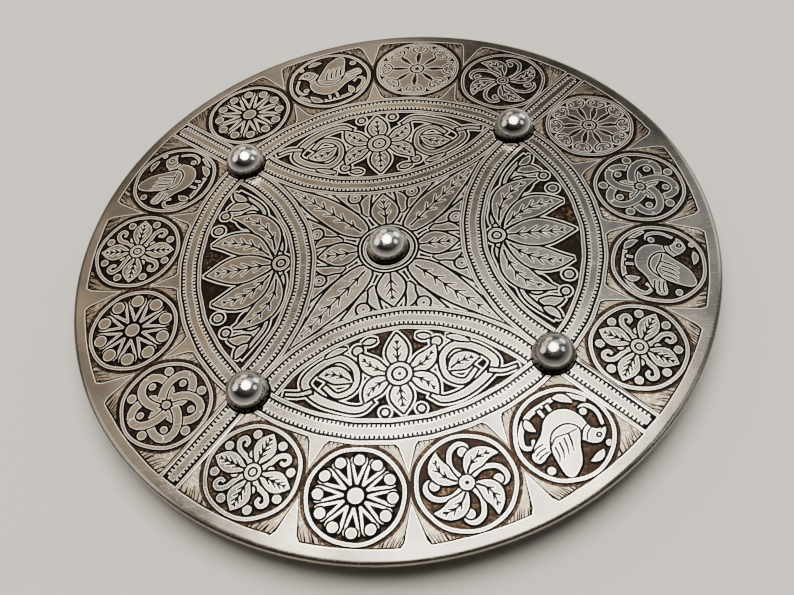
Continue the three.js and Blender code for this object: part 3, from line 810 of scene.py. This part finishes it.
def worn_silver_and_painted_light(name, bright, dull, stain, smooth_at, rough_at, edge=None, steep=None, hammered=0, seed=0.0):
    """Worn silver: slow noise dulls it, finer noise stains and pits it, two stretched noises scratch it. An
    edge colour paints it bright beside its edges, partly as rubbing wear and partly as a painted highlight;
    the edges are where rays inside it soon leave through a wall. A steep colour paints shade on the steep
    sides, by the size of the normal's height."""
    add, noise, maths, mix, ranged, shade = new_finish(name)
    place = add("TexCoord", {}).node.outputs["Object"]
    place = add("Mapping", {"Vector": place, "Location": (seed, seed, 0)})
    cloud = noise(place, 160.0, 6.0, 0.65)
    grain = noise(place, 1500.0, 5.0, 0.7)
    tarnish = ranged(noise(place, 75.0, 4.0), 0.38, 0.62)
    pits = ranged(grain, 0.63, 0.72)
    colour = mix(tarnish, bright, dull)
    colour = mix(maths("MULTIPLY", ranged(cloud, 0.62, 0.72), 0.45), colour, stain)
    colour = mix(maths("MULTIPLY", pits, 0.65), colour, stain)
    scratches = []
    for angle, scale in ((0.5, 260.0), (-0.9, 340.0)):
        along = add("Mapping", {"Vector": place, "Rotation": (0, 0, angle), "Scale": (1, 26, 1)})
        scratches.append(ranged(noise(along, scale, 3.0, 0.6), 0.66, 0.74))
    scratch = maths("MAXIMUM", *scratches)
    metallic = 1.0
    # Painted highlight, partly real rubbing wear: beside the raised edges the colour goes bright and less
    # metallic, standing in for light that the edges catch.
    if edge:
        inward = add("AmbientOcclusion", {"Distance": EDGE_REACH}, inside=True, only_local=True, samples=6)
        edge_wear_and_highlight = ranged(inward.node.outputs["AO"], 0.97, 0.72)
        colour = mix(edge_wear_and_highlight, colour, edge)
        metallic = ranged(edge_wear_and_highlight, 0.0, 1.0, 1.0, 0.6)
    # Painted shade: where the normal's height is small, on steep sides, the colour goes towards the steep
    # colour.
    if steep:
        normal = add("NewGeometry", {}).node.outputs["Normal"]
        upward = add("SeparateXYZ", {"Vector": normal}).node.outputs["Z"]
        colour = mix(ranged(maths("ABSOLUTE", upward), 0.40, 0.18), colour, steep)
    roughness = maths("MULTIPLY_ADD", scratch, 0.12, ranged(cloud, 0.3, 0.7, smooth_at, rough_at))
    height = maths("MULTIPLY_ADD", grain, 0.25, cloud)
    height = maths("MULTIPLY_ADD", scratch, -0.25, height)
    height = maths("MULTIPLY_ADD", pits, -0.35, height)
    normal = add("Bump", {"Strength": 0.25, "Distance": 0.00006, "Height": height})
    if hammered:
        dents = add("TexVoronoi", {"Vector": place, "Scale": 230.0, "Smoothness": 1.0}, feature="SMOOTH_F1")
        normal = add("Bump", {"Strength": hammered, "Distance": 0.0004, "Height": dents, "Normal": normal})
    return shade(Base_Color=colour, Metallic=metallic, Roughness=roughness, Normal=normal)


def blackened(name, deep, worn, metallic, roughness, specular):
    """Blackened silver in the cuts: dark, uneven, with lighter grains where rubbing broke the black."""
    add, noise, maths, mix, ranged, shade = new_finish(name)
    place = add("TexCoord", {}).node.outputs["Object"]
    cloud = noise(place, 120.0, 5.0)
    grain = noise(place, 1900.0, 4.0, 0.7)
    colour = mix(maths("MULTIPLY", ranged(cloud, 0.35, 0.7), ranged(grain, 0.5, 0.68)), deep, worn)
    normal = add("Bump", {"Strength": 0.5, "Distance": 0.00012, "Height": grain})
    uneven = ranged(grain, 0.3, 0.7, roughness - 0.1, roughness + 0.1)
    return shade(
        Base_Color=colour, Metallic=metallic, Roughness=uneven, Specular_IOR_Level=specular, Normal=normal,
    )


SILVER_BRIGHT = (0.26, 0.231, 0.192, 1)
SILVER_DULL = (0.153, 0.14, 0.126, 1)
# The edge colour is partly rubbing wear and partly a painted highlight along the engraved edges.
EDGE_WEAR_AND_HIGHLIGHT = (0.95, 0.88, 0.77, 1)
STAIN = (0.20, 0.13, 0.08, 1)
BACK_BRIGHT = (0.62, 0.55, 0.46, 1)
BACK_DULL = (0.40, 0.35, 0.29, 1)
EDGE_REACH = 0.16 * MM
for finish in (
    worn_silver_and_painted_light("engraved_silver_face", SILVER_BRIGHT, SILVER_DULL, STAIN, 0.17, 0.29, edge=EDGE_WEAR_AND_HIGHLIGHT),
    blackened("sunk_ground", (0.008, 0.005, 0.004, 1), (0.14, 0.088, 0.052, 1), 0.9, 0.4, 0.12),
    blackened("cut_line", (0.001, 0.0008, 0.0007, 1), (0.004, 0.003, 0.0025, 1), 0.0, 0.7, 0.04),
    blackened("hatched_patch", (0.17, 0.138, 0.102, 1), (0.8, 0.73, 0.62, 1), 1.0, 0.38, 0.3),
    worn_silver_and_painted_light("plain_back", BACK_BRIGHT, BACK_DULL, STAIN, 0.34, 0.5, hammered=0.6, seed=0.3),
):
    disc_mesh.materials.append(finish)
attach(disc, "brooch")
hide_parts("disc_plate")

# Boss rivets: five domes of polished silver, darkened partly by tarnish and partly by painted shade on their
# steep sides, each turned with its shank in one piece.
# Their ends come out behind and are hammered over, on the strip, its feet or washers.
SHANK_RADIUS = 1.2
UPSET_RADIUS = 2.1
UPSET_HEIGHT = 0.9
BOSS_STEPS = 72
BOSS_SINK = 0.08
BOSS_BEVEL = (0.12, 0.14)
STRIP_THICKNESS = 1.0
FOOT_THICKNESS = 1.0
ROVE_THICKNESS = 0.8
MIRROR_BRIGHT = (0.78, 0.75, 0.70, 1)
MIRROR_DULL = (0.46, 0.44, 0.42, 1)
MIRROR_STAIN = (0.05, 0.04, 0.04, 1)
# Painted shade: the near-black colour that the bosses' steep lower sides are mixed towards.
PAINTED_SHADE_FOOT = (0.02, 0.017, 0.015, 1)


def turned(profile, steps=BOSS_STEPS):
    """A shape of revolution: a profile of radii and heights, from axis to axis, goes round in equal steps."""
    radius, height = np.array(profile).T
    spin = 2 * np.pi * np.arange(steps) / steps
    inner = slice(1, len(radius) - 1)
    across, along = np.outer(radius[inner], np.cos(spin)), np.outer(radius[inner], np.sin(spin))
    rings = np.stack((across, along, np.repeat(height[inner], steps).reshape(-1, steps)), -1).reshape(-1, 3)
    points = np.vstack(([0, 0, height[0]], rings, [0, 0, height[-1]]))
    ids = 1 + np.arange(len(rings)).reshape(-1, steps)
    beside = np.roll(ids, -1, 1)
    quads = np.stack((ids[:-1], beside[:-1], beside[1:], ids[1:]), -1).reshape(-1, 4)
    low = np.column_stack((np.zeros(steps, int), beside[0], ids[0]))
    high = np.column_stack((np.full(steps, len(points) - 1), ids[-1], beside[-1]))
    return points, [*quads.tolist(), *low.tolist(), *high.tolist()]


def new_piece(name, shape, node, finish, body="brooch"):
    """A piece for a node, from points in millimetres and faces: smooth but for edges past the sharp angle."""
    points, faces = shape
    mesh = bpy.data.meshes.new(name)
    mesh.from_pydata(points * MM, [], faces)
    mesh.polygons.foreach_set("use_smooth", np.ones(len(faces), bool))
    mesh.set_sharp_from_angle(angle=SHARP_ANGLE)
    mesh.materials.append(finish)
    piece = bpy.data.objects.new(name, mesh)
    bpy.context.collection.objects.link(piece)
    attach(piece, body)
    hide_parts(node)


def on_dome(shape, place):
    """A shape drawn about the dome's axis, over its face, tilted about its centre to a place in plan."""
    tilt = math.asin(abs(place) / SPHERE)
    x, y, z = shape[0].T
    z = z + SPHERE
    x, z = x * math.cos(tilt) + z * math.sin(tilt), z * math.cos(tilt) - x * math.sin(tilt)
    flat = (x + 1j * y) * (place / abs(place) if place else 1)
    return np.column_stack((flat.real, flat.imag, z + FACE_TOP - SPHERE)), shape[1]


def boss_profile(tail):
    """Axis to axis: the hammered end's arc, the shank, and the head, a quarter circle on a short skirt."""
    arc = np.linspace(0, QUARTER, 7)[:-1]
    end = [(UPSET_RADIUS * math.sin(t), tail - UPSET_HEIGHT * math.cos(t)) for t in arc]
    shank = [(UPSET_RADIUS, tail), (SHANK_RADIUS, tail + 0.01), (SHANK_RADIUS, -BOSS_SINK)]
    rim = [(BOSS_RADIUS - BOSS_BEVEL[0], -BOSS_SINK), (BOSS_RADIUS, BOSS_BEVEL[1] - BOSS_SINK)]
    top = SEAT_GAP + BOSS_SKIRT
    arc = np.linspace(0, QUARTER, 19)[:-1]
    head = [(BOSS_RADIUS * math.cos(t), top + BOSS_RADIUS * math.sin(t)) for t in arc]
    return [*end, *shank, *rim, *head, (0, top + BOSS_RADIUS)]


under_strip = SHEET + SEAT_GAP + STRIP_THICKNESS
foot_underside = under_strip + SEAT_GAP + FOOT_THICKNESS
under_rove = SHEET + SEAT_GAP + ROVE_THICKNESS
# The steep colour paints shade on the bosses' steep lower sides.
mirror_silver = worn_silver_and_painted_light(
    "mirror_silver_tarnish_and_painted_shade", MIRROR_BRIGHT, MIRROR_DULL, MIRROR_STAIN, 0.08, 0.17,
    steep=PAINTED_SHADE_FOOT, hammered=0.12, seed=0.7,
)
for place, (name, depth) in zip(bosses, (
    ("centre", under_strip),
    ("upper_right", foot_underside),
    ("upper_left", under_rove),
    ("lower_left", foot_underside),
    ("lower_right", under_rove),
)):
    shape = on_dome(turned(boss_profile(-depth)), place)
    new_piece(f"boss_{name}", shape, f"boss_rivet_{name}", mirror_silver)

# Washers: two small round plates of forged silver, between the disc's back and the hammered ends of the two
# rivets that miss the strip.
forged_silver = worn_silver_and_painted_light("forged_silver_fittings", BACK_BRIGHT, BACK_DULL, STAIN, 0.3, 0.46, seed=1.1)
ROVE_RADIUS = 3.0
washer_profile = [
    (0, -under_rove), (ROVE_RADIUS - 0.2, -under_rove), (ROVE_RADIUS, -under_rove + 0.2),
    (ROVE_RADIUS, -SHEET - 0.15), (ROVE_RADIUS - 0.15, -SHEET), (0, -SHEET),
]
for name, place in (("upper_left", bosses[2]), ("lower_right", bosses[4])):
    shape = on_dome(turned(washer_profile), place)
    new_piece(f"washer_{name}", shape, f"rove_{name}", forged_silver)

# Back strip: a flat bar of forged silver with half-round ends, bent to the dome and riveted under the disc by
# three bosses. From here on, places behind are x along the strip, from hinge to catch, and y across it.
STRIP_WIDTH = 8.0
STRIP_OVERHANG = 7.5
FILED_EDGE = 0.22
STRIP_STATIONS = 60


def skinned(rings, looped=False):
    """A closed surface through rings of points: four-sided faces between neighbours, and one face over each
    end or, where the rings make a loop, faces from the last ring back to the first."""
    ids = np.arange(rings.shape[0] * rings.shape[1]).reshape(rings.shape[:2])
    ahead = np.roll(ids, -1, 0) if looped else ids[1:]
    here = ids if looped else ids[:-1]
    between = np.stack((here, np.roll(here, -1, 1), np.roll(ahead, -1, 1), ahead), -1).reshape(-1, 4).tolist()
    return rings.reshape(-1, 3), between if looped else [*between, ids[0, ::-1].tolist(), ids[-1].tolist()]


def filed_section(half_width, low, high, edge=FILED_EDGE):
    """A bar's cross-section, as across and height: a rectangle with quarter circles for corners."""
    edge = min(edge, half_width * 0.9)
    arc = edge * np.exp(1j * np.linspace(0, QUARTER, 5))
    corner = half_width - edge + 1j * ((high - low) / 2 - edge)
    four = (corner + arc, -np.conj(corner) + arc * 1j, -corner - arc, np.conj(corner) - arc * 1j)
    return np.concatenate(four) + 0.5j * (high + low)


def along_strip(x, y, z):
    """Points of the back, x along the strip, turned to the strip's diagonal across the disc."""
    flat = (x + 1j * y) * DIAGONAL
    return np.stack((flat.real, flat.imag, z), -1)


def bent_bar(stations, half_widths, depth, thickness):
    """A bar bent to the dome: the filed section at each station, its heights taken down from the face."""
    sections = np.array([filed_section(half, -depth - thickness, -depth) for half in half_widths])
    plan = np.asarray(stations)[:, None] + 1j * sections.real
    return skinned(along_strip(plan.real, plan.imag, dome(plan, -sections.imag)))


spin = np.linspace(-QUARTER * 0.96, 0, 12)
round_end = BOSS_CIRCLE + STRIP_OVERHANG - STRIP_WIDTH / 2
left = -round_end + STRIP_WIDTH / 2 * np.sin(spin)
straight = np.linspace(-round_end, round_end, STRIP_STATIONS)[1:-1]
stations = np.concatenate((left, straight, -left[::-1]))
half_widths = STRIP_WIDTH / 2 * np.concatenate((np.cos(spin), np.ones(len(straight)), np.cos(spin)[::-1]))
strip = bent_bar(stations, half_widths, SHEET, SEAT_GAP + STRIP_THICKNESS)
new_piece("riveted_strip", strip, "back_strip", forged_silver)

# Hinge: a foot clamped under the strip by its end rivet, two ears cut from plate that stand on it, and
# across them an axle whose ends are hammered into low heads.
FOOT_INWARD = 4.0
FOOT_WIDTH = 7.4
HINGE_X = -(BOSS_CIRCLE + 4.8)
AXLE_DROP = 4.0
AXLE_RADIUS = 0.7
AXLE_HEAD_RADIUS = 1.15
AXLE_HEAD_LENGTH = 0.5
EAR_THICKNESS = 1.2
EAR_GAP = 3.8
EAR_TOP_WIDTH = 5.4
EAR_TOE_WIDTH = 3.2

axle_height = float(dome(np.array(BOSS_CIRCLE), foot_underside)) - AXLE_DROP


def plate(outline, start, end, edge=FILED_EDGE):
    """A flat plate as rings: its outline steps out round a quarter circle at one face, and back at the other.
    Gives the outline's two ways as complex numbers, and the third way."""
    curve = np.linspace(0, QUARTER, 4)
    way = math.copysign(edge, end - start)
    inset = edge * (1 - np.sin(np.concatenate((curve, curve[::-1]))))
    third = np.concatenate((start + way * (1 - np.cos(curve)), end - way * (1 - np.cos(curve[::-1]))))
    rings = np.array([grown(outline, -step) for step in inset])
    return rings, np.repeat(third[:, None], len(outline), 1)


def joined(*shapes):
    """Several closed surfaces as one: points in a row, and each one's faces counted on from those before."""
    points, faces = [], []
    for shape_points, shape_faces in shapes:
        start = sum(map(len, points))
        faces += [[start + corner for corner in face] for face in shape_faces]
        points.append(shape_points)
    return np.vstack(points), faces


def clamped_foot(inner, outer):
    """A foot under the strip: a bar from inner to outer, its end sections narrower by the filed edge."""
    stations = np.concatenate(([inner], np.linspace(inner + FILED_EDGE, outer - FILED_EDGE, 12), [outer]))
    half_widths = np.full(len(stations), FOOT_WIDTH / 2)
    half_widths[[0, -1]] -= FILED_EDGE
    return bent_bar(stations, half_widths, under_strip, SEAT_GAP + FOOT_THICKNESS)


def root_height(x):
    """The height of a fitting's root, in the middle of the foot."""
    return float(dome(np.array(x), foot_underside)) + FOOT_THICKNESS / 2


def ear(near, far):
    """An ear: a plate with slanting sides, from its root inside the foot to its flat toe, on the ground."""
    toe, top, root = EAR_TOE_WIDTH / 2, EAR_TOP_WIDTH / 2, root_height(-HINGE_X)
    outline = HINGE_X + np.array([-toe, toe, top + 1j * root, -top + 1j * root])
    flat, across = plate(outline, far, near)
    return skinned(along_strip(flat.real, across, flat.imag))


ear_near, ear_far = EAR_GAP / 2, EAR_GAP / 2 + EAR_THICKNESS
hinge_foot = clamped_foot(HINGE_X - EAR_TOP_WIDTH / 2, -BOSS_CIRCLE + FOOT_INWARD)
bracket = joined(hinge_foot, ear(ear_near, ear_far), ear(-ear_far, -ear_near))
new_piece("hinge_foot_and_ears", bracket, "hinge_bracket", forged_silver)

head_end = ear_far + SEAT_GAP + AXLE_HEAD_LENGTH
half_axle = [
    (AXLE_RADIUS, ear_far - 0.02), (AXLE_HEAD_RADIUS, ear_far), (AXLE_HEAD_RADIUS, head_end - 0.35),
    (AXLE_HEAD_RADIUS - 0.13, head_end - 0.12), (AXLE_HEAD_RADIUS - 0.45, head_end), (0, head_end),
]
points, faces = turned([(radius, -height) for radius, height in half_axle[::-1]] + half_axle, 32)
points = along_strip(HINGE_X + points[:, 0], points[:, 2], axle_height - points[:, 1])
new_piece("axle_with_heads", (points, faces), "hinge_axle", forged_silver, "axle")

# Catch: a second foot, and a tongue of plate that goes down from it and curls into a hook, open to one
# side, which the pin's tip springs into.
CATCH_X = BOSS_CIRCLE + 4.2
CATCH_LENGTH = 4.0
HOOK_THICKNESS = 0.9
HOOK_INNER_RADIUS = 1.35
HOOK_LIP = 1.0

catch_start, catch_end = CATCH_X - CATCH_LENGTH / 2, CATCH_X + CATCH_LENGTH / 2
reach = HOOK_INNER_RADIUS + HOOK_THICKNESS / 2
down = -reach + 1j * np.linspace(root_height(CATCH_X) - axle_height, 0.4, 5)
bend = reach * np.exp(1j * np.linspace(2 * QUARTER, 3 * QUARTER, 14))
lip = np.array([HOOK_LIP / 2, HOOK_LIP]) - 1j * reach
flat, along = plate(ribbon([*down, *bend, *lip], HOOK_THICKNESS), catch_start, catch_end)
tongue = skinned(along_strip(along, flat.real, axle_height + flat.imag))
catch = joined(clamped_foot(BOSS_CIRCLE - FOOT_INWARD, catch_end), tongue)
new_piece("catch_foot_and_hook", catch, "catch_hook", forged_silver)

# Pin: drawn silver wire with a long tapered point, its root coiled into an eye that turns on the axle. At
# rest it lies closed, just beside the hook's mouth.
EYE_WIDTH = 3.0
EYE_RADIUS = 1.9
EYE_BORE = AXLE_RADIUS + 0.35
EYE_COILS = 3
PIN_RADIUS = 0.9
PIN_TAPER = 22.0
PIN_POINT = 0.2
PIN_LENGTH = catch_end + 3.5 - HINGE_X
PIN_SIDE_TURN = np.exp(1j * math.radians(3))

taper_start = PIN_LENGTH - PIN_TAPER
shaft = [(PIN_RADIUS, x) for x in np.linspace(2, taper_start, 10)]
for t in np.linspace(0, 1, 16)[1:]:
    shaft.append((PIN_RADIUS + (PIN_POINT - PIN_RADIUS) * t**1.3, PIN_LENGTH - PIN_TAPER * (1 - t)))
points, shaft_faces = turned([(0, 1.2), (PIN_RADIUS, 1.25), *shaft, (0, PIN_LENGTH + PIN_POINT)], 32)
shaft_points = np.column_stack((points[:, 2], points[:, 1], -points[:, 0]))
coil_width = EYE_WIDTH / EYE_COILS
turn = np.linspace(0, 2 * np.pi, 64, endpoint=False)[:, None]
round_wire = np.linspace(0, 2 * np.pi, 24, endpoint=False)
out = (EYE_RADIUS + EYE_BORE) / 2 + (EYE_RADIUS - EYE_BORE) / 2 * np.cos(round_wire)
coils = []
for k in range(EYE_COILS):
    across = (k - (EYE_COILS - 1) / 2) * coil_width + coil_width / 2 * np.sin(round_wire)
    rings = np.stack((out * np.cos(turn), across + 0 * turn, out * np.sin(turn)), -1)
    coils.append(skinned(rings, looped=True))
points, faces = joined((shaft_points, shaft_faces), *coils)
flat = (points[:, 0] + 1j * points[:, 1]) * PIN_SIDE_TURN
points = along_strip(HINGE_X + flat.real, flat.imag, axle_height + points[:, 2])
polished_pin = worn_silver_and_painted_light("polished_pin", BACK_BRIGHT, BACK_DULL, STAIN, 0.16, 0.28, seed=1.9)
new_piece("pin_and_eye", (points, faces), "pin", polished_pin, "pin")

# Floor: a plain pale board far wider than the view, for the brooch to lie on.
FLOOR_HALF = 3.0
floor_mesh = bpy.data.meshes.new("floor")
floor_corners = [(x * FLOOR_HALF, y * FLOOR_HALF, 0) for x, y in ((-1, -1), (1, -1), (1, 1), (-1, 1))]
floor_mesh.from_pydata(floor_corners, [], [(0, 1, 2, 3)])
*_, shade = new_finish("pale_board")
floor_mesh.materials.append(shade(Base_Color=(0.38, 0.367, 0.346, 1), Roughness=0.85))
floor = bpy.data.objects.new("floor", floor_mesh)
bpy.context.collection.objects.link(floor)

# Lights: a soft sky, bright above the far side, dark behind the camera and pale along the horizon, one large
# lamp overhead, whose reflection lies on the near half, five weak ones beyond, and two at the sides.
SKY_TOWARDS = (0.34, 0.45, 0.825)
SKY_COLOUR = (1.0, 0.96, 0.91, 1)
SKY_BY_FACING = (0.2, 1.0, 0.02, 0.16)
SKY_BY_HEIGHT = (0.08, 0.5, 0.4, 0.0)
world = bpy.data.worlds.new("studio")
world.use_nodes = True
sky = world.node_tree
direction = sky.nodes.new("ShaderNodeTexCoord").outputs["Generated"]
facing = sky.nodes.new("ShaderNodeVectorMath")
facing.operation = "DOT_PRODUCT"
facing.inputs[1].default_value = SKY_TOWARDS
height = sky.nodes.new("ShaderNodeSeparateXYZ")
sky.links.new(direction, facing.inputs[0])
sky.links.new(direction, height.inputs[0])
total = sky.nodes.new("ShaderNodeMath")
sources = (facing.outputs["Value"], height.outputs["Z"])
for k, (source, limits) in enumerate(zip(sources, (SKY_BY_FACING, SKY_BY_HEIGHT))):
    share = sky.nodes.new("ShaderNodeMapRange")
    for socket, value in zip(("From Min", "From Max", "To Min", "To Max"), limits):
        share.inputs[socket].default_value = value
    sky.links.new(source, share.inputs["Value"])
    sky.links.new(share.outputs["Result"], total.inputs[k])
sky.links.new(total.outputs[0], sky.nodes["Background"].inputs["Strength"])
sky.nodes["Background"].inputs["Color"].default_value = SKY_COLOUR
bpy.context.scene.world = world


def lamp(name, azimuth, elevation, distance, width, power, colour):
    """A round soft lamp that looks at the disc: its compass angle goes from -Y towards +X."""
    data = bpy.data.lights.new(name, "AREA")
    data.shape = "DISK"
    data.size = width
    data.energy = power
    data.color = colour
    a, e = math.radians(azimuth), math.radians(elevation)
    way = Vector((math.sin(a) * math.cos(e), -math.cos(a) * math.cos(e), math.sin(e)))
    light = bpy.data.objects.new(name, data)
    light.matrix_world = Matrix.Translation(way * distance) @ way.to_track_quat("Z", "Y").to_matrix().to_4x4()
    bpy.context.collection.objects.link(light)


lamp("overhead", 132, 86.1, 0.7, 0.58, 13.6, (1.0, 0.95, 0.86))
lamp("overhead_far", 179, 63, 0.9, 0.28, 0.4, (1.0, 0.95, 0.86))
lamp("beyond", 190, 33, 0.9, 0.4, 0.62, (1.0, 0.86, 0.68))
lamp("left", 226, 43, 0.9, 0.55, 0.85, (1.0, 0.83, 0.63))
lamp("right", 130, 26, 0.9, 0.4, 1.1, (0.9, 0.96, 1.0))
lamp("right_glow", 141, 54, 0.9, 0.55, 0.5, (0.8, 0.9, 1.0))
lamp("left_side", 262, 38, 0.9, 0.5, 1.4, (1.0, 0.96, 0.9))
lamp("right_side", 84, 40, 0.9, 0.3, 0.5, (0.82, 0.91, 1.0))
